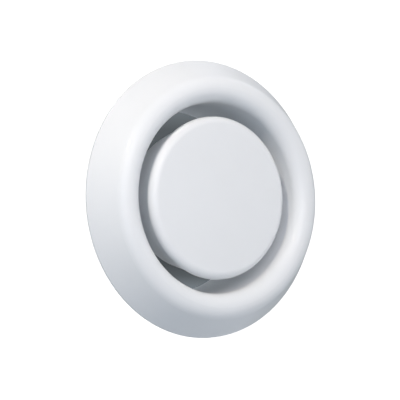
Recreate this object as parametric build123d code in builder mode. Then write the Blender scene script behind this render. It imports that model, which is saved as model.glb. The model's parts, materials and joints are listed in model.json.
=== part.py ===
from build123d import *
import os
from math import acos, atan2, cos, degrees, radians, tan

os.makedirs("parts", exist_ok=True)

# Round disc valve, nominal size 125, in millimetres.
# +Z points up into the duct and z = 0 is the ceiling surface, so the valve faces down.
# The Z axis is the axis of the duct, the ring, the disc and the spindle.

# Duct and mounting frame
sleeve_outer_radius = 62.0
frame_sheet = 0.8
sleeve_height = 30.0
flange_radius = 75.0
flange_bend = 1.2
flange_inner_bend = 0.4
screw_circle_radius = 68.5
screw_hole_radius = 2.2
screw_count = 4
bead_height = 14.8
bead_half_width = 0.8
bead_rise = 0.45
seal_bottom = 4.0
seal_top = 12.0
seal_band = 0.8
fin_reach = 1.3
fin_height = 1.6
fin_droop = 0.6

# Ring and collar
ring_radius = 82.5
ring_depth = 20.0
ring_sheet = 0.9
rim_gap = 1.5
rim_bend = 1.2
lip_inner_radius = 77.0
crest_radius = 64.2
crest_outer_bend = 9.0
crest_inner_bend = 8.0
collar_top = 34.0
gasket_inset = 0.3

# Disc
disc_radius = 48.0
disc_sheet = 0.9
disc_face_setback = 4.0
disc_edge_bend = 4.5
disc_wall = 1.2
disc_rear_edge = 0.4
cone_step = 0.7
cone_half_angle = 12.0
cone_depth = 28.8
cone_spigot = 1.4
cone_fit = 0.1
cone_corner = 3.0
hub_plate_radius = 16.0
hub_plate_thickness = 2.0
hub_plate_edge = 0.4
hub_washer_thickness = 2.0
hub_washer_split = 1.0

# Spindle, thread M8 with 1.25 mm pitch
spindle_radius = 4.0
thread_clearance = 0.05
spindle_front = 3.5
spindle_top = 59.5
spindle_chamfer = 0.7
shoulder_radius = 9.0
shoulder_thickness = 2.0
shoulder_edge = 0.6
groove_radius = 3.25
retainer_radius = 7.0
retainer_bore_radius = 4.8
retainer_thickness = 1.0
retainer_prong_width = 2.6
retainer_mouth_width = 5.6
retainer_mouth_end = 2.0

# Bridge
bridge_width = 18.0
bridge_thickness = 2.0
bridge_bottom = 29.0
bridge_foot_bottom = 19.0
bridge_foot_bend = 1.8
bridge_rivet_height = 23.0

# Nuts and washers, size M8
nut_across_flats = 13.0
nut_height = 6.5
nut_chamfer = 0.9
washer_radius = 8.0
washer_bore_radius = 4.3
washer_thickness = 1.6
washer_edge = 0.3
bridge_nut_flange_radius = 10.0
bridge_nut_shank_radius = 7.0
bridge_nut_flange = 2.0
bridge_nut_edge = 0.5
bridge_nut_lip = 1.0
bridge_nut_chamfer = 0.6
stop_washer_bottom = 55.3
play = 0.02

# Spring clips and rivets
clip_angles = (90, 210, 330)
clip_arc = 14.0
clip_sheet = 0.5
clip_bottom = 2.0
clip_bow_start = 11.0
clip_top = 25.0
clip_reach = 61.0
clip_rivet_height = 6.5
clip_rivet_radius = 1.6
clip_rivet_rise = 0.9
bridge_rivet_radius = 2.0
bridge_rivet_rise = 1.2
rivet_head_ratio = 1.7
rivet_seat_ratio = 0.06
rivet_rounding = 0.75

# Overlap of cutting shapes past a face, and the reach of a height selector
spare = 0.5
near = 0.01

# Heights and radii that follow from the sizes above
throat_radius = crest_radius - crest_inner_bend
collar_outer_radius = throat_radius + ring_sheet
rim_z = -rim_gap
crest_z = rim_z - ring_depth
face_z = crest_z + disc_face_setback
edge_z = face_z + disc_edge_bend
wall_z = edge_z + disc_wall
cone_top = wall_z + cone_depth
cone_front_radius = disc_radius - cone_step
cone_taper = tan(radians(cone_half_angle))
plate_top = cone_top - disc_sheet
plate_bottom = plate_top - hub_plate_thickness
shoulder_top = cone_top + shoulder_thickness
bore_radius = spindle_radius + thread_clearance
bridge_top = bridge_bottom + bridge_thickness
bridge_nut_top = bridge_top + bridge_nut_lip
lock_washer_bottom = bridge_nut_top + play
lock_nut_bottom = lock_washer_bottom + washer_thickness + play
hub_nut_top = plate_bottom - hub_washer_thickness
groove_bottom = stop_washer_bottom + washer_thickness


def radial_plane(angle):
    """Plane through the Z axis, with local X pointing outward at the angle and local Y up."""
    outward = Vector(1, 0, 0).rotate(Axis.Z, angle)
    normal = Vector(0, -1, 0).rotate(Axis.Z, angle)
    return Plane(origin=(0, 0, 0), x_dir=outward, z_dir=normal)


def outward_plane(angle, radius, height):
    """Plane that faces outward at a radius, for holes and rivets through the collar."""
    outward = Vector(1, 0, 0).rotate(Axis.Z, angle)
    return Plane(origin=outward * radius + Vector(0, 0, height), x_dir=(0, 0, 1), z_dir=outward)


def save(piece, name):
    """Label a finished piece and write its STEP file."""
    piece.part.label = name
    export_step(piece.part, f"parts/{name}.step")


# Mounting frame: a drawn sleeve with a flange, a rolled locating bead and screw holes
sleeve_inner_radius = sleeve_outer_radius - frame_sheet
with BuildPart() as mounting_frame:
    with BuildSketch(Plane.XZ):
        with BuildLine():
            Polyline(
                (sleeve_outer_radius, bead_height - bead_half_width),
                (sleeve_outer_radius, 0),
                (flange_radius, 0),
                (flange_radius, -frame_sheet),
                (sleeve_inner_radius, -frame_sheet),
                (sleeve_inner_radius, bead_height - bead_half_width),
            )
            ThreePointArc(
                (sleeve_inner_radius, bead_height - bead_half_width),
                (sleeve_inner_radius + bead_rise, bead_height),
                (sleeve_inner_radius, bead_height + bead_half_width),
            )
            Polyline(
                (sleeve_inner_radius, bead_height + bead_half_width),
                (sleeve_inner_radius, sleeve_height),
                (sleeve_outer_radius, sleeve_height),
                (sleeve_outer_radius, bead_height + bead_half_width),
            )
            ThreePointArc(
                (sleeve_outer_radius, bead_height + bead_half_width),
                (sleeve_outer_radius + bead_rise, bead_height),
                (sleeve_outer_radius, bead_height - bead_half_width),
            )
        make_face()
    revolve(axis=Axis.Z)
    bottom_edges = mounting_frame.edges().filter_by(GeomType.CIRCLE).group_by(Axis.Z)[0]
    fillet(bottom_edges.sort_by(SortBy.RADIUS)[0], radius=flange_bend)
    seat_edges = mounting_frame.edges().filter_by(GeomType.CIRCLE).filter_by_position(Axis.Z, -near, near)
    fillet(seat_edges.sort_by(SortBy.RADIUS)[0], radius=flange_inner_bend)
    with BuildSketch(Plane.XY.offset(-frame_sheet)):
        with PolarLocations(screw_circle_radius, screw_count, start_angle=45):
            Circle(screw_hole_radius)
    extrude(amount=frame_sheet, mode=Mode.SUBTRACT)
save(mounting_frame, "mounting_frame")

# Duct seal: a rubber band with two fins, held under the locating bead
with BuildPart() as duct_seal:
    with BuildSketch(Plane.XZ):
        with BuildLine():
            Polyline(
                (sleeve_outer_radius, seal_bottom),
                (sleeve_outer_radius + seal_band, seal_bottom),
                (sleeve_outer_radius + seal_band + fin_reach, seal_bottom - fin_droop + fin_height),
                (sleeve_outer_radius + seal_band, seal_bottom + fin_height),
                (sleeve_outer_radius + seal_band, seal_top - 2 * fin_height),
                (sleeve_outer_radius + seal_band + fin_reach, seal_top - fin_droop - fin_height),
                (sleeve_outer_radius + seal_band, seal_top - fin_height),
                (sleeve_outer_radius + seal_band, seal_top),
                (sleeve_outer_radius, seal_top),
                close=True,
            )
        make_face()
    revolve(axis=Axis.Z)
save(duct_seal, "duct_seal")

# Valve body: rear lip, conical flank, rounded crest, bell mouth and collar in one spun sheet
rim_centre_r = ring_radius - rim_bend
rim_centre_z = rim_z - rim_bend
outer_centre_z = crest_z + crest_outer_bend
inner_centre_z = crest_z + crest_inner_bend
centre_distance = ((rim_centre_r - crest_radius) ** 2 + (rim_centre_z - outer_centre_z) ** 2) ** 0.5
centre_tilt = degrees(atan2(rim_centre_z - outer_centre_z, rim_centre_r - crest_radius))
flank_normal = degrees(acos((crest_outer_bend - rim_bend) / centre_distance)) - centre_tilt
with BuildPart() as valve_body:
    with BuildSketch(Plane.XZ):
        with BuildLine():
            Line((lip_inner_radius, rim_z), (rim_centre_r, rim_z))
            rim_arc = CenterArc((rim_centre_r, rim_centre_z), rim_bend, 90, -90 - flank_normal)
            crest_arc = CenterArc(
                (crest_radius, outer_centre_z), crest_outer_bend, -flank_normal, flank_normal - 90
            )
            Line(rim_arc @ 1, crest_arc @ 0)
            mouth_arc = CenterArc((crest_radius, inner_centre_z), crest_inner_bend, -90, -90)
            Line(mouth_arc @ 1, (throat_radius, collar_top))
            offset(amount=ring_sheet, side=Side.RIGHT)
        make_face()
    revolve(axis=Axis.Z)
    for angle in clip_angles:
        with BuildSketch(outward_plane(angle, 0, clip_rivet_height)):
            Circle(clip_rivet_radius)
        extrude(amount=collar_outer_radius + spare, mode=Mode.SUBTRACT)
    for angle in (0, 180):
        with BuildSketch(outward_plane(angle, 0, bridge_rivet_height)):
            Circle(bridge_rivet_radius)
        extrude(amount=collar_outer_radius + spare, mode=Mode.SUBTRACT)
save(valve_body, "valve_body")

# Rim gasket: a foam ring on the rear lip, pressed flat against the ceiling
with BuildPart() as rim_gasket:
    with BuildSketch(Plane.XY.offset(rim_z)):
        Circle(rim_centre_r)
        Circle(lip_inner_radius + gasket_inset, mode=Mode.SUBTRACT)
    extrude(amount=rim_gap)
save(rim_gasket, "rim_gasket")

# Bridge: a cross bar with two bent feet that follow the collar's inner wall
foot_inner_radius = throat_radius - bridge_thickness
with BuildPart() as bridge:
    with BuildSketch(Plane.XY.offset(bridge_bottom)):
        Circle(throat_radius)
        Rectangle(2 * throat_radius, bridge_width, mode=Mode.INTERSECT)
    extrude(amount=bridge_thickness)
    with BuildSketch(Plane.XY.offset(bridge_foot_bottom)):
        Circle(throat_radius)
        Circle(foot_inner_radius, mode=Mode.SUBTRACT)
        Rectangle(2 * throat_radius, bridge_width, mode=Mode.INTERSECT)
    extrude(amount=bridge_top - bridge_foot_bottom)
    foot_bends = bridge.edges().filter_by(GeomType.CIRCLE).group_by(Axis.Z)[-1]
    fillet(foot_bends, radius=bridge_foot_bend)
    with Locations((0, 0, bridge_top)):
        Hole(bridge_nut_shank_radius)
    for angle in (0, 180):
        with BuildSketch(outward_plane(angle, 0, bridge_rivet_height)):
            Circle(bridge_rivet_radius)
        extrude(amount=throat_radius + spare, mode=Mode.SUBTRACT)
save(bridge, "bridge")

# Bridge nut: a flanged threaded bush, swaged over the top of the bridge
with BuildPart() as bridge_nut:
    with BuildSketch(Plane.XY.offset(bridge_bottom - bridge_nut_flange)):
        Circle(bridge_nut_flange_radius)
    extrude(amount=bridge_nut_flange)
    fillet(bridge_nut.edges().filter_by(GeomType.CIRCLE).group_by(Axis.Z)[0], radius=bridge_nut_edge)
    with BuildSketch(Plane.XY.offset(bridge_bottom)):
        Circle(bridge_nut_shank_radius)
    extrude(amount=bridge_thickness)
    with BuildSketch(Plane.XY.offset(bridge_top)):
        Circle(bridge_nut_shank_radius + bridge_nut_lip)
    extrude(amount=bridge_nut_lip)
    swaged_edges = bridge_nut.edges().filter_by(GeomType.CIRCLE).group_by(Axis.Z)[-1]
    chamfer(swaged_edges, length=bridge_nut_chamfer)
    with Locations((0, 0, bridge_nut_top)):
        Hole(bore_radius)
save(bridge_nut, "bridge_nut")


def make_rivet(angle, height, shank_radius, inner_radius, outer_radius, head_rise):
    """Domed rivet along a radius, gripping the sheets between two radii."""
    head_radius = rivet_head_ratio * shank_radius
    inner_seat = inner_radius - rivet_seat_ratio * shank_radius
    with BuildPart() as rivet:
        with BuildSketch(outward_plane(angle, inner_seat, height)):
            Circle(shank_radius)
        extrude(amount=outer_radius - inner_seat)
        for seat, rise in ((inner_seat, -head_rise), (outer_radius, head_rise)):
            with BuildSketch(outward_plane(angle, seat, height)):
                Circle(head_radius)
            extrude(amount=rise)
        outward = Axis((0, 0, height), Vector(1, 0, 0).rotate(Axis.Z, angle))
        rims = rivet.edges().filter_by(GeomType.CIRCLE).sort_by(outward)
        fillet([rims[0], rims[-1]], radius=rivet_rounding * head_rise)
    return rivet


# Bridge rivets: one through each foot and the collar wall
for side, angle in (("right", 0), ("left", 180)):
    bridge_rivet = make_rivet(
        angle,
        bridge_rivet_height,
        bridge_rivet_radius,
        foot_inner_radius,
        collar_outer_radius,
        bridge_rivet_rise,
    )
    save(bridge_rivet, f"bridge_rivet_{side}")

# Spring clips: bowed leaf springs on the collar, with their rivets
clip_inner = collar_outer_radius
clip_outer = collar_outer_radius + clip_sheet
bow_middle = (clip_bow_start + clip_top) / 2
for number, angle in enumerate(clip_angles, start=1):
    with BuildPart() as spring_clip:
        with BuildSketch(radial_plane(angle - clip_arc / 2)):
            with BuildLine():
                Polyline(
                    (clip_inner, clip_bow_start),
                    (clip_inner, clip_bottom),
                    (clip_outer, clip_bottom),
                    (clip_outer, clip_bow_start),
                )
                ThreePointArc(
                    (clip_outer, clip_bow_start), (clip_reach, bow_middle), (clip_outer, clip_top)
                )
                Line((clip_outer, clip_top), (clip_inner, clip_top))
                ThreePointArc(
                    (clip_inner, clip_top),
                    (clip_reach - clip_sheet, bow_middle),
                    (clip_inner, clip_bow_start),
                )
            make_face()
        revolve(axis=Axis.Z, revolution_arc=clip_arc)
        with BuildSketch(outward_plane(angle, 0, clip_rivet_height)):
            Circle(clip_rivet_radius)
        extrude(amount=clip_outer + spare, mode=Mode.SUBTRACT)
    save(spring_clip, f"spring_clip_{number}")
    clip_rivet = make_rivet(
        angle, clip_rivet_height, clip_rivet_radius, throat_radius, clip_outer, clip_rivet_rise
    )
    save(clip_rivet, f"clip_rivet_{number}")


def make_nut(bottom, height, bore):
    """Hexagon nut with chamfered corners, standing on a height."""
    corner_radius = nut_across_flats / 2 / cos(radians(30))
    chamfer_rise = nut_chamfer * tan(radians(30))
    with BuildPart() as nut:
        with BuildSketch(Plane.XY.offset(bottom)):
            RegularPolygon(nut_across_flats / 2, 6, major_radius=False)
            Circle(bore, mode=Mode.SUBTRACT)
        extrude(amount=height)
        with BuildSketch(Plane.XZ):
            for end, rise in ((bottom, chamfer_rise), (bottom + height, -chamfer_rise)):
                with BuildLine():
                    Polyline(
                        (corner_radius - nut_chamfer, end),
                        (corner_radius + spare, end),
                        (corner_radius + spare, end + rise),
                        (corner_radius, end + rise),
                        close=True,
                    )
                make_face()
        revolve(axis=Axis.Z, mode=Mode.SUBTRACT)
    return nut


# Lock nut and its loose washer on the rear side of the bridge
save(make_nut(lock_nut_bottom, nut_height, bore_radius), "lock_nut")
for name, bottom in (("lock_washer", lock_washer_bottom), ("stop_washer", stop_washer_bottom)):
    with BuildPart() as washer:
        with BuildSketch(Plane.XY.offset(bottom)):
            Circle(washer_radius)
            Circle(washer_bore_radius, mode=Mode.SUBTRACT)
        extrude(amount=washer_thickness)
        top_edges = washer.edges().filter_by(GeomType.CIRCLE).group_by(Axis.Z)[-1]
        chamfer(top_edges.sort_by(SortBy.RADIUS)[-1], length=washer_edge)
    save(washer, name)

# Disc face: a flat plate with a rounded edge and a short wall
with BuildPart() as disc_face:
    with BuildSketch(Plane.XZ):
        with BuildLine():
            Line((0, face_z), (disc_radius - disc_edge_bend, face_z))
            edge_arc = CenterArc((disc_radius - disc_edge_bend, edge_z), disc_edge_bend, -90, 90)
            Line(edge_arc @ 1, (disc_radius, wall_z))
            Line((disc_radius, wall_z), (disc_radius - disc_sheet, wall_z))
            Line((disc_radius - disc_sheet, wall_z), (disc_radius - disc_sheet, edge_z))
            CenterArc((disc_radius - disc_edge_bend, edge_z), disc_edge_bend - disc_sheet, 0, -90)
            Polyline(
                (disc_radius - disc_edge_bend, face_z + disc_sheet), (0, face_z + disc_sheet), (0, face_z)
            )
        make_face()
    revolve(axis=Axis.Z)
    rear_edges = disc_face.edges().filter_by(GeomType.CIRCLE).group_by(Axis.Z)[-1]
    fillet(rear_edges.sort_by(SortBy.RADIUS)[-1], radius=disc_rear_edge)
save(disc_face, "disc_face")

# Disc cone: a tapered shell with a spigot in the plate's wall and a flat rear bottom
cone_rear_radius = cone_front_radius - cone_depth * cone_taper
spigot_radius = disc_radius - disc_sheet - cone_fit
hub_hole_radius = spindle_radius + cone_fit
with BuildPart() as disc_cone:
    with BuildSketch(Plane.XZ):
        with BuildLine():
            Polyline(
                (spigot_radius - disc_sheet, wall_z - cone_spigot),
                (spigot_radius, wall_z - cone_spigot),
                (spigot_radius, wall_z),
                (cone_front_radius, wall_z),
                (cone_rear_radius, cone_top),
                (hub_hole_radius, cone_top),
                (hub_hole_radius, plate_top),
                (cone_rear_radius - disc_sheet, plate_top),
                (spigot_radius - disc_sheet, wall_z + disc_sheet),
                close=True,
            )
        make_face()
    revolve(axis=Axis.Z)
    cone_circles = disc_cone.edges().filter_by(GeomType.CIRCLE)
    outer_corner = cone_circles.filter_by_position(Axis.Z, cone_top - near, cone_top + near)
    fillet(outer_corner.sort_by(SortBy.RADIUS)[-1], radius=cone_corner)
    cone_circles = disc_cone.edges().filter_by(GeomType.CIRCLE)
    inner_corner = cone_circles.filter_by_position(Axis.Z, plate_top - near, plate_top + near)
    fillet(inner_corner.sort_by(SortBy.RADIUS)[-1], radius=cone_corner - disc_sheet)
save(disc_cone, "disc_cone")

# Hub plate: stiffens the cone's bottom from inside
with BuildPart() as hub_plate:
    with BuildSketch(Plane.XY.offset(plate_bottom)):
        Circle(hub_plate_radius)
        Circle(hub_hole_radius, mode=Mode.SUBTRACT)
    extrude(amount=hub_plate_thickness)
    front_edges = hub_plate.edges().filter_by(GeomType.CIRCLE).group_by(Axis.Z)[0]
    chamfer(front_edges.sort_by(SortBy.RADIUS)[-1], length=hub_plate_edge)
save(hub_plate, "hub_plate")

# Hub washer: a split spring washer between the hub plate and the hub nut
with BuildPart() as hub_washer:
    with BuildSketch(Plane.XY.offset(hub_nut_top)):
        Circle(nut_across_flats / 2)
        Circle(hub_hole_radius, mode=Mode.SUBTRACT)
        with Locations((nut_across_flats / 2, 0)):
            Rectangle(nut_across_flats, hub_washer_split, mode=Mode.SUBTRACT)
    extrude(amount=hub_washer_thickness)
save(hub_washer, "hub_washer")
save(make_nut(hub_nut_top - nut_height, nut_height, bore_radius), "hub_nut")

# Spindle: threaded rod with a shoulder on the cone and a groove for the retaining clip
with BuildPart() as spindle:
    with BuildSketch(Plane.XY.offset(spindle_front)):
        Circle(spindle_radius)
    extrude(amount=spindle_top - spindle_front)
    chamfer(spindle.edges().filter_by(GeomType.CIRCLE), length=spindle_chamfer)
    with BuildSketch(Plane.XY.offset(cone_top)):
        Circle(shoulder_radius)
    extrude(amount=shoulder_thickness)
    spindle_circles = spindle.edges().filter_by(GeomType.CIRCLE)
    shoulder_edges = spindle_circles.filter_by_position(Axis.Z, shoulder_top - near, shoulder_top + near)
    fillet(shoulder_edges.sort_by(SortBy.RADIUS)[-1], radius=shoulder_edge)
    with BuildSketch(Plane.XY.offset(groove_bottom)):
        Circle(spindle_radius + spare)
        Circle(groove_radius, mode=Mode.SUBTRACT)
    extrude(amount=retainer_thickness + 2 * play, mode=Mode.SUBTRACT)
save(spindle, "spindle")

# Retaining clip: an E-clip in the spindle's groove
with BuildPart() as retaining_clip:
    with BuildSketch(Plane.XY.offset(groove_bottom + play)):
        Circle(retainer_radius)
        Circle(retainer_bore_radius, mode=Mode.SUBTRACT)
        with PolarLocations(retainer_bore_radius, 3):
            Rectangle(2 * (retainer_bore_radius - groove_radius), retainer_prong_width)
        Circle(groove_radius + play, mode=Mode.SUBTRACT)
        with Locations((-retainer_radius, 0)):
            mouth_length = 2 * (retainer_radius - retainer_mouth_end)
            Rectangle(mouth_length, retainer_mouth_width, mode=Mode.SUBTRACT)
    extrude(amount=retainer_thickness)
save(retaining_clip, "retaining_clip")
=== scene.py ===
import json
import math

import bmesh
import bpy
from mathutils import Matrix, Vector


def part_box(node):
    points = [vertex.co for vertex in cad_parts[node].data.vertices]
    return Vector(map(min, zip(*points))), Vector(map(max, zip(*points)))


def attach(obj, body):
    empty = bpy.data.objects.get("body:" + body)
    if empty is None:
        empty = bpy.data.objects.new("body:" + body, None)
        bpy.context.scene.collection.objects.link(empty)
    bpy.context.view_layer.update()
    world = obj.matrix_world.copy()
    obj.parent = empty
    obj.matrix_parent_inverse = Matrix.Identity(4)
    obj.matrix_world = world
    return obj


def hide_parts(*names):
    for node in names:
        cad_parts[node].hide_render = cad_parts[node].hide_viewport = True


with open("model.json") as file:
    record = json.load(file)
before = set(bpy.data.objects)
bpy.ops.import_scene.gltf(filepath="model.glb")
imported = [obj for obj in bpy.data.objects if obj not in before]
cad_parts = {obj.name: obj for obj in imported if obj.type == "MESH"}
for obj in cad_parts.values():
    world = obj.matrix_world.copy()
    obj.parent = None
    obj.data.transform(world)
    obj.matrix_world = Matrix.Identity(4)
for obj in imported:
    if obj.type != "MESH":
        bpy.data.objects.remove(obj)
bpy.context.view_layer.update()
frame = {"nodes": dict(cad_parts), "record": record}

nodes = frame["nodes"]
MM = 0.001

# ---------------------------------------------------------------- camera
# The valve faces down. The camera looks up at it from one side, with the picture's top towards -Y.
VIEW_TURN = math.radians(-34.97)
VIEW_TILT = math.radians(-3.15)
CAMERA_DISTANCE = 715 * MM
CAMERA_SIDE_SHIFT = -3.47 * MM
CAMERA_RISE = -0.71 * MM
RIM_HEIGHT = -1.5 * MM
LENS_MM = 108
SENSOR_MM = 36

toward_camera = Vector((
    math.cos(VIEW_TILT) * math.sin(VIEW_TURN),
    -math.sin(VIEW_TILT),
    -math.cos(VIEW_TILT) * math.cos(VIEW_TURN),
))
camera_right = Vector((math.cos(VIEW_TURN), 0, math.sin(VIEW_TURN)))
camera_up = toward_camera.cross(camera_right)
rim_centre = Vector((0, 0, RIM_HEIGHT))

camera_data = bpy.data.cameras.new("camera")
camera_data.lens = LENS_MM
camera_data.sensor_width = SENSOR_MM
camera = bpy.data.objects.new("camera", camera_data)
bpy.context.scene.collection.objects.link(camera)
camera_place = (
    rim_centre
    + toward_camera * CAMERA_DISTANCE
    + camera_right * CAMERA_SIDE_SHIFT
    + camera_up * CAMERA_RISE
)
camera.matrix_world = Matrix.Translation(camera_place) @ Matrix(
    (camera_right, camera_up, toward_camera)
).transposed().to_4x4()
bpy.context.scene.camera = camera

# ---------------------------------------------------------------- studio


def area_light(name, direction, distance, size, power, colour=(1, 1, 1)):
    """Square soft light that looks at the object's centre from a direction."""
    data = bpy.data.lights.new(name, "AREA")
    data.size = size
    data.energy = power
    data.color = colour
    lamp = bpy.data.objects.new(name, data)
    bpy.context.scene.collection.objects.link(lamp)
    lamp.location = rim_centre + direction.normalized() * distance
    lamp.rotation_mode = "QUATERNION"
    lamp.rotation_quaternion = direction.to_track_quat("Z", "Y")


def from_camera(right, up, forward):
    """Direction in space from its parts along the camera's right, up and viewing axes."""
    return camera_right * right + camera_up * up + toward_camera * forward


area_light("key", from_camera(-0.28, 0.63, 0.73), 0.8, 0.05, 2.2, (1, 0.91, 0.79))
area_light("front", from_camera(0.21, 0.37, 0.91), 0.84, 0.48, 2.65, (1, 0.92, 0.91))
area_light("near_camera", from_camera(0, 0, 1), 0.9, 0.51, 1.4, (0.55, 0.75, 1))
area_light("right", from_camera(0.98, 0, -0.17), 1.4, 0.8, 3.0, (0.96, 0.96, 0.9))
area_light("upper_back", from_camera(0.43, 0.75, -0.5), 1.4, 0.8, 2.3, (0.82, 0.86, 1))
area_light("lower_back", from_camera(0.43, -0.75, -0.5), 1.4, 0.8, 1.5, (0.84, 0.86, 1))

# The room is brighter near the horizon than overhead, so little light falls down the duct.
# The camera sees it plain white.
SEEN_LIGHT = 1.2
HORIZON_LIGHT = 0.56
ZENITH_LIGHT = 0.17
FADE_START = 0.15
FADE_END = 0.6
world = bpy.data.worlds.new("studio")
bpy.context.scene.world = world
world.use_nodes = True
sky = world.node_tree
sky.nodes.clear()
sky_out = sky.nodes.new("ShaderNodeOutputWorld")
sky_mix = sky.nodes.new("ShaderNodeMixShader")
sky_path = sky.nodes.new("ShaderNodeLightPath")
sky_seen = sky.nodes.new("ShaderNodeBackground")
sky_light = sky.nodes.new("ShaderNodeBackground")
sky_seen.inputs["Color"].default_value = (1, 1, 1, 1)
sky_seen.inputs["Strength"].default_value = SEEN_LIGHT
sky_light.inputs["Color"].default_value = (0.91, 0.98, 1.03, 1)
sky_direction = sky.nodes.new("ShaderNodeTexCoord")
sky_height = sky.nodes.new("ShaderNodeSeparateXYZ")
sky_fade = sky.nodes.new("ShaderNodeMapRange")
sky_fade.interpolation_type = "SMOOTHSTEP"
sky_fade.inputs["From Min"].default_value = FADE_START
sky_fade.inputs["From Max"].default_value = FADE_END
sky_fade.inputs["To Min"].default_value = HORIZON_LIGHT
sky_fade.inputs["To Max"].default_value = ZENITH_LIGHT
sky.links.new(sky_direction.outputs["Generated"], sky_height.inputs[0])
sky.links.new(sky_height.outputs["Z"], sky_fade.inputs["Value"])
sky.links.new(sky_fade.outputs["Result"], sky_light.inputs["Strength"])
sky.links.new(sky_path.outputs["Is Camera Ray"], sky_mix.inputs["Fac"])
sky.links.new(sky_light.outputs[0], sky_mix.inputs[1])
sky.links.new(sky_seen.outputs[0], sky_mix.inputs[2])
sky.links.new(sky_mix.outputs[0], sky_out.inputs["Surface"])
bpy.context.scene.view_settings.view_transform = "Standard"

# ---------------------------------------------------------------- materials
# Most of a texture's values lie between these two
TEXTURE_LOW = 0.3
TEXTURE_HIGH = 0.7


class Surface:
    """Material with one Principled shader, and short ways to add texture nodes to it."""

    def __init__(self, name, metallic, roughness):
        self.material = bpy.data.materials.new(name)
        self.material.use_nodes = True
        self.tree = self.material.node_tree
        self.shader = self.tree.nodes["Principled BSDF"]
        self.shader.inputs["Metallic"].default_value = metallic
        self.shader.inputs["Roughness"].default_value = roughness
        self.place = self.tree.nodes.new("ShaderNodeTexCoord").outputs["Object"]

    def node(self, kind, **settings):
        made = self.tree.nodes.new(kind)
        for key, value in settings.items():
            setattr(made, key, value)
        return made

    def link(self, source, target):
        self.tree.links.new(source, target)

    def stretched(self, stretch):
        """Object coordinates, scaled along each axis."""
        mapping = self.node("ShaderNodeMapping")
        mapping.inputs["Scale"].default_value = stretch
        self.link(self.place, mapping.inputs["Vector"])
        return mapping.outputs["Vector"]

    def noise(self, size, detail=2.0, stretch=(1, 1, 1)):
        """Noise whose lumps are about the given size in metres."""
        made = self.node("ShaderNodeTexNoise")
        made.inputs["Scale"].default_value = 1 / size
        made.inputs["Detail"].default_value = detail
        self.link(self.stretched(stretch), made.inputs["Vector"])
        return made.outputs["Fac"]

    def cells(self, size):
        """Voronoi cells of about the given size in metres."""
        made = self.node("ShaderNodeTexVoronoi")
        made.inputs["Scale"].default_value = 1 / size
        self.link(self.place, made.inputs["Vector"])
        return made.outputs

    def spread(self, source, low, high):
        """Value remapped from its middle range to low..high."""
        made = self.node("ShaderNodeMapRange")
        made.inputs["From Min"].default_value = TEXTURE_LOW
        made.inputs["From Max"].default_value = TEXTURE_HIGH
        made.inputs["To Min"].default_value = low
        made.inputs["To Max"].default_value = high
        self.link(source, made.inputs["Value"])
        return made.outputs["Result"]

    def tint(self, source, dark, light):
        """Base colour that runs from dark to light with a texture."""
        ramp = self.node("ShaderNodeValToRGB")
        ramp.color_ramp.elements[0].position = TEXTURE_LOW
        ramp.color_ramp.elements[1].position = TEXTURE_HIGH
        ramp.color_ramp.elements[0].color = (*dark, 1)
        ramp.color_ramp.elements[1].color = (*light, 1)
        self.link(source, ramp.inputs["Fac"])
        self.link(ramp.outputs["Color"], self.shader.inputs["Base Color"])

    def rough(self, source, low, high):
        self.link(self.spread(source, low, high), self.shader.inputs["Roughness"])

    def bump(self, source, height, strength=1.0, under=None):
        """Bump of a real height in metres, on top of another bump when one is given."""
        made = self.node("ShaderNodeBump")
        made.inputs["Distance"].default_value = height
        made.inputs["Strength"].default_value = strength
        self.link(source, made.inputs["Height"])
        if under is not None:
            self.link(under, made.inputs["Normal"])
        self.link(made.outputs["Normal"], self.shader.inputs["Normal"])
        return made.outputs["Normal"]


def white_powder_coat():
    """Cool white semi-gloss coat: fine orange peel and a very slight unevenness of gloss and tone."""
    coat = Surface("white_powder_coat", 0, 0.4)
    coat.shader.inputs["Coat Weight"].default_value = 0.2
    coat.shader.inputs["Coat Roughness"].default_value = 0.1
    coat.tint(coat.noise(0.03), (0.845, 0.86, 0.875), (0.86, 0.875, 0.89))
    coat.rough(coat.noise(0.012), 0.5, 0.6)
    coat.bump(coat.noise(0.0014), 0.000012)
    return coat.material


def galvanised_sheet():
    """Hot-dip zinc: crystals that each differ a little in tone and shine, over rolled sheet."""
    zinc = Surface("galvanised_sheet", 1, 0.4)
    crystal = zinc.cells(0.0035)
    zinc.tint(crystal["Color"], (0.54, 0.56, 0.58), (0.66, 0.675, 0.69))
    zinc.rough(crystal["Color"], 0.3, 0.48)
    rolled = zinc.bump(zinc.noise(0.0009), 0.000015)
    zinc.bump(zinc.noise(0.004, 3.0), 0.00006, 0.6, rolled)
    return zinc.material


def zinc_plate(name, stretch):
    """Bright zinc plate with fine working marks and a faint blue-to-straw passivation tint."""
    plate = Surface(name, 1, 0.3)
    plate.tint(plate.noise(0.008, 3.0), (0.62, 0.65, 0.69), (0.71, 0.7, 0.67))
    plate.rough(plate.noise(0.0012, 2.0, stretch), 0.22, 0.4)
    plate.bump(plate.noise(0.0006, 2.0, stretch), 0.000012)
    return plate.material


def spring_steel():
    """Tempered blue-grey strip with grain along its length."""
    strip = Surface("spring_steel", 1, 0.35)
    strip.tint(strip.noise(0.005, 3.0), (0.27, 0.3, 0.35), (0.38, 0.39, 0.41))
    grain = strip.noise(0.0008, 2.0, (1, 1, 0.04))
    strip.rough(grain, 0.28, 0.45)
    strip.bump(grain, 0.00001)
    return strip.material


def rivet_aluminium():
    """Satin aluminium with small tool dimples."""
    metal = Surface("rivet_aluminium", 1, 0.35)
    metal.tint(metal.noise(0.0015), (0.7, 0.71, 0.72), (0.8, 0.81, 0.82))
    metal.rough(metal.noise(0.0005), 0.28, 0.42)
    metal.bump(metal.noise(0.0007), 0.00003)
    return metal.material


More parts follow.
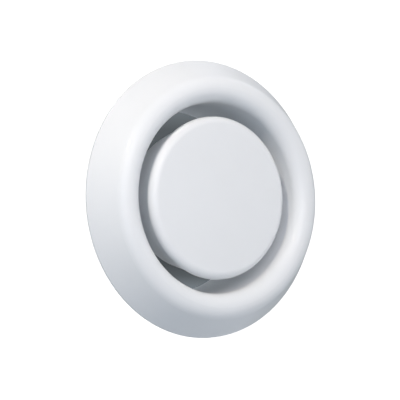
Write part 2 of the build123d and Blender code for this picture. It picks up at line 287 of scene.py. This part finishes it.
def seal_rubber():
    """Matt black rubber with extrusion lines around it and a faint grey bloom."""
    rubber = Surface("seal_rubber", 0, 0.6)
    rubber.tint(rubber.noise(0.01, 4.0), (0.016, 0.016, 0.018), (0.035, 0.035, 0.038))
    lines = rubber.noise(0.0007, 2.0, (0.05, 0.05, 1))
    rubber.rough(lines, 0.5, 0.72)
    rubber.bump(lines, 0.00003)
    return rubber.material


def gasket_foam():
    """Light grey closed-cell foam with open cut cells."""
    foam = Surface("gasket_foam", 0, 0.85)
    cut_cells = foam.cells(0.0006)
    foam.tint(foam.noise(0.004, 3.0), (0.6, 0.61, 0.62), (0.72, 0.73, 0.73))
    foam.bump(cut_cells["Distance"], 0.00012)
    return foam.material


materials = {
    "white_powder_coat": white_powder_coat(),
    "galvanised_sheet": galvanised_sheet(),
    "zinc_plated_bar": zinc_plate("zinc_plated_bar", (0.05, 1, 1)),
    "zinc_plated_fastener": zinc_plate("zinc_plated_fastener", (0.3, 0.3, 1)),
    "spring_steel": spring_steel(),
    "rivet_aluminium": rivet_aluminium(),
    "seal_rubber": seal_rubber(),
    "gasket_foam": gasket_foam(),
}
for subpart in frame["record"]["subparts"]:
    mesh = nodes[subpart["node"]].data
    mesh.materials.clear()
    mesh.materials.append(materials[subpart["material_slot"]])


# ---------------------------------------------------------------- pieces that replace plain CAD shapes
SHARP_ANGLE = math.radians(35)
SPINDLE_SEGMENTS = 48
RING_SEGMENTS = 160


def radii(node):
    """Smallest and largest distance from the valve's axis to the corners of a CAD node."""
    reach = [math.hypot(vertex.co.x, vertex.co.y) for vertex in nodes[node].data.vertices]
    return min(reach), max(reach)


def turned_piece(node, body, outline, segments, radius_at=None, hollow=True):
    """Turned shape that stands for a CAD node: outline is (radius, height) points from the bottom up.

    A hollow outline closes on itself. A solid one gets a flat face at each end. radius_at(radius,
    height, turn) may change the radius round the axis, as a thread does.
    """
    shape = bmesh.new()
    rings = []
    for radius, height in outline:
        ring = []
        for step in range(segments):
            turn = 2 * math.pi * step / segments
            reach = radius_at(radius, height, turn) if radius_at else radius
            ring.append(shape.verts.new((reach * math.cos(turn), reach * math.sin(turn), height)))
        rings.append(ring)
    pairs = list(zip(rings, rings[1:]))
    if hollow:
        pairs.append((rings[-1], rings[0]))
    else:
        shape.faces.new(reversed(rings[0]))
        shape.faces.new(rings[-1])
    for lower, upper in pairs:
        for step in range(segments):
            after = (step + 1) % segments
            shape.faces.new((lower[step], lower[after], upper[after], upper[step]))
    bmesh.ops.recalc_face_normals(shape, faces=shape.faces)
    mesh = bpy.data.meshes.new(node + "_shape")
    shape.to_mesh(mesh)
    shape.free()
    mesh.shade_smooth()
    mesh.set_sharp_from_angle(angle=SHARP_ANGLE)
    piece = bpy.data.objects.new(node + "_shape", mesh)
    bpy.context.scene.collection.objects.link(piece)
    finish = next(row["material_slot"] for row in frame["record"]["subparts"] if row["node"] == node)
    mesh.materials.append(materials[finish])
    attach(piece, body)
    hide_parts(node)


def arc(centre_radius, centre_height, size, start, end, steps):
    """Points on an arc of a turned outline. Angles are in degrees, from the outward direction."""
    points = []
    for step in range(steps + 1):
        angle = math.radians(start + (end - start) * step / steps)
        points.append((centre_radius + size * math.cos(angle), centre_height + size * math.sin(angle)))
    return points


# Spindle: M8 thread above the shoulder that stands on the cone, groove for the retaining clip.
# Depth, crest and root are the metric thread's shares of its pitch.
THREAD_RADIUS = 4 * MM
THREAD_PITCH = 1.25 * MM
THREAD_DEPTH = 0.5413 * THREAD_PITCH
THREAD_CREST = 1 / 8
THREAD_ROOT = 1 / 4
ROWS_PER_PITCH = 12
ROD_CHAMFER = 0.7 * MM
SHOULDER_THICKNESS = 2 * MM
SHOULDER_EDGE = 0.6 * MM
GROOVE_RADIUS = 3.25 * MM
GROOVE_PLAY = 0.02 * MM

rod_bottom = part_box("spindle")[0].z
rod_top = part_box("spindle")[1].z
shoulder_radius = radii("spindle")[1]
shoulder_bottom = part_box("disc_cone")[1].z
shoulder_top = shoulder_bottom + SHOULDER_THICKNESS
groove_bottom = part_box("retaining_clip")[0].z - GROOVE_PLAY
groove_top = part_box("retaining_clip")[1].z + GROOVE_PLAY


def thread_rows(start, end):
    """Outline points close enough together, from start up to end, to show a thread."""
    count = math.ceil((end - start) / THREAD_PITCH * ROWS_PER_PITCH)
    points = []
    for step in range(count + 1):
        height = start + (end - start) * step / count
        chamfered = THREAD_RADIUS - ROD_CHAMFER + rod_top - height
        points.append((min(THREAD_RADIUS, chamfered), height))
    return points


def cut_thread(radius, height, turn):
    """Radius of the spindle with its thread, which runs above the shoulder."""
    if height <= shoulder_top or radius > THREAD_RADIUS:
        return radius
    place = (height / THREAD_PITCH - turn / (2 * math.pi)) % 1
    from_crest = abs(2 * place - 1)
    depth = (from_crest - THREAD_CREST) / (1 - THREAD_ROOT - THREAD_CREST)
    return min(radius, THREAD_RADIUS - THREAD_DEPTH * min(max(depth, 0), 1))


spindle_outline = [
    (THREAD_RADIUS - ROD_CHAMFER, rod_bottom),
    (THREAD_RADIUS, rod_bottom + ROD_CHAMFER),
    (THREAD_RADIUS, shoulder_bottom),
    (shoulder_radius, shoulder_bottom),
    *arc(shoulder_radius - SHOULDER_EDGE, shoulder_top - SHOULDER_EDGE, SHOULDER_EDGE, 0, 90, 5),
    (THREAD_RADIUS - THREAD_DEPTH, shoulder_top),
    *thread_rows(shoulder_top + THREAD_PITCH / ROWS_PER_PITCH, groove_bottom),
    (GROOVE_RADIUS, groove_bottom),
    (GROOVE_RADIUS, groove_top),
    *thread_rows(groove_top, rod_top),
]
turned_piece("spindle", "disc", spindle_outline, SPINDLE_SEGMENTS, cut_thread, hollow=False)

# Duct seal: a band on the sleeve with two soft lips that bend back as the sleeve goes into a duct
SEAL_BAND = 0.8 * MM
SEAL_CORNER = 0.25 * MM
LIP_HEIGHT = 1.6 * MM
LIP_RISE = 0.2 * MM
LIP_TIP = 0.22 * MM
LIP_HOLLOW = 1.6
LIP_STEPS = 6

seal_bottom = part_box("duct_seal")[0].z
seal_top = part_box("duct_seal")[1].z
seal_inner, lip_outer = radii("duct_seal")
band_outer = seal_inner + SEAL_BAND


def lip(bottom):
    """Outline of one lip: thick at the band, thinning in a hollow curve to a rounded tip."""
    tip_radius = lip_outer - LIP_TIP
    middle = bottom + LIP_HEIGHT / 2
    lower = []
    upper = []
    for step in range(LIP_STEPS):
        along = step / LIP_STEPS
        half = LIP_TIP + (LIP_HEIGHT / 2 - LIP_TIP) * (1 - along) ** LIP_HOLLOW
        radius = band_outer + (tip_radius - band_outer) * along
        centre = middle + LIP_RISE * along ** 2
        lower.append((radius, centre - half))
        upper.append((radius, centre + half))
    return lower + arc(tip_radius, middle + LIP_RISE, LIP_TIP, -90, 90, 6) + upper[::-1]


seal_outline = [
    (seal_inner, seal_bottom + SEAL_CORNER),
    *arc(seal_inner + SEAL_CORNER, seal_bottom + SEAL_CORNER, SEAL_CORNER, 180, 270, 3)[1:],
    *lip(seal_bottom),
    *lip(seal_top - 2 * LIP_HEIGHT),
    *arc(band_outer - SEAL_CORNER, seal_top - SEAL_CORNER, SEAL_CORNER, 0, 90, 3),
    (seal_inner, seal_top),
]
turned_piece("duct_seal", "frame", seal_outline, RING_SEGMENTS)

# Rim gasket: a strip of foam between the ring and the ceiling, its sides swelling a little
GASKET_SWELL = 0.3 * MM
GASKET_STEPS = 8
gasket_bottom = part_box("rim_gasket")[0].z
gasket_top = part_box("rim_gasket")[1].z
gasket_inner, gasket_outer = radii("rim_gasket")
gasket_middle = (gasket_bottom + gasket_top) / 2
gasket_half = (gasket_top - gasket_bottom) / 2


def swell(side, direction):
    """Side of the foam strip, from its bottom edge to its top edge or back."""
    points = []
    for step in range(GASKET_STEPS + 1):
        height = direction * (2 * step / GASKET_STEPS - 1)
        inset = GASKET_SWELL * height ** 2
        points.append((side - direction * inset, gasket_middle + gasket_half * height))
    return points


gasket_outline = swell(gasket_outer, 1) + swell(gasket_inner, -1)
turned_piece("rim_gasket", "valve", gasket_outline, RING_SEGMENTS)

# ---------------------------------------------------------------- floor, and a card of painted duct shade
FLOOR_DEPTH = 0.85
FLOOR_HALF = 40.0
FLOOR_COLOUR = (0.84, 0.86, 0.88)
FLOOR_MOTTLE = 0.97
FLOOR_GLOW = 0.35
FLOOR_BOUNCE = 0.06
CARD_DISTANCE = 0.6
CARD_RADIUS = 0.112
# Painted shade: tint and tones that the card glows with, standing in for the shaded inside of a duct
PAINTED_SHADE_TINT = (0.86, 1.0, 1.1)
PAINTED_SHADE_TONES = ((-99, 0.2), (-84, 0.088), (-71, 0.052), (76, 0.085), (103, 0.18))
CARD_CORNERS = 48


def floor_material():
    """Plain matt paint, mottled a little.

    The glow only lifts the tone that the camera sees. The bounce is the light that it adds to the object.
    """
    paint = Surface("floor_paint", 0, 0.9)
    dark = tuple(FLOOR_MOTTLE * part for part in FLOOR_COLOUR)
    paint.tint(paint.noise(0.4), dark, FLOOR_COLOUR)
    seen = paint.node("ShaderNodeLightPath").outputs["Is Camera Ray"]
    paint.shader.inputs["Emission Color"].default_value = (*FLOOR_COLOUR, 1)
    strength = paint.node("ShaderNodeMapRange")
    strength.inputs["To Min"].default_value = FLOOR_BOUNCE
    strength.inputs["To Max"].default_value = FLOOR_GLOW
    paint.link(seen, strength.inputs["Value"])
    paint.link(strength.outputs["Result"], paint.shader.inputs["Emission Strength"])
    return paint.material


def duct_shade_material():
    """Dark grey-blue sheet that glows with painted shade, the shade inside a duct: darker in its middle,
    lighter towards its top and bottom. Its tones are given at heights in millimetres above its middle.
    """
    glowing_shade = Surface("painted_duct_shade", 0, 0.9)
    glowing_shade.shader.inputs["Base Color"].default_value = (0.02, 0.02, 0.02, 1)
    upward = glowing_shade.node("ShaderNodeVectorMath", operation="DOT_PRODUCT")
    upward.inputs[1].default_value = camera_up
    glowing_shade.link(glowing_shade.place, upward.inputs[0])
    middle = card_centre.dot(camera_up)
    height = glowing_shade.node("ShaderNodeMapRange")
    height.inputs["From Min"].default_value = middle - CARD_RADIUS
    height.inputs["From Max"].default_value = middle + CARD_RADIUS
    glowing_shade.link(upward.outputs["Value"], height.inputs["Value"])
    shade = glowing_shade.node("ShaderNodeValToRGB")
    stops = shade.color_ramp.elements
    while len(stops) < len(PAINTED_SHADE_TONES):
        stops.new(1)
    for stop, (above_middle, tone) in zip(stops, PAINTED_SHADE_TONES):
        stop.position = (above_middle * MM + CARD_RADIUS) / (2 * CARD_RADIUS)
        stop.color = (*(tone * part for part in PAINTED_SHADE_TINT), 1)
    glowing_shade.link(height.outputs["Result"], shade.inputs["Fac"])
    glowing_shade.link(shade.outputs["Color"], glowing_shade.shader.inputs["Emission Color"])
    glowing_shade.shader.inputs["Emission Strength"].default_value = 1
    return glowing_shade.material


def flat_sheet(name, corners, material):
    """One flat face through the corners, for the floor or backdrop."""
    mesh = bpy.data.meshes.new(name)
    mesh.from_pydata(corners, [], [range(len(corners))])
    mesh.materials.append(material)
    sheet = bpy.data.objects.new(name, mesh)
    bpy.context.scene.collection.objects.link(sheet)


floor_corners = [
    (FLOOR_HALF * x, FLOOR_HALF * y, -FLOOR_DEPTH) for x, y in ((-1, -1), (1, -1), (1, 1), (-1, 1))
]
flat_sheet("floor", floor_corners, floor_material())

# A card far behind the valve glows with painted shade and shows through the corners of the air gap, as
# the shaded inside of a duct would
card_centre = rim_centre - toward_camera * CARD_DISTANCE
card_corners = []
for step in range(CARD_CORNERS):
    turn = 2 * math.pi * step / CARD_CORNERS
    corner = card_centre + CARD_RADIUS * (camera_right * math.cos(turn) + camera_up * math.sin(turn))
    card_corners.append(tuple(corner))
flat_sheet("painted_shade_card", card_corners, duct_shade_material())
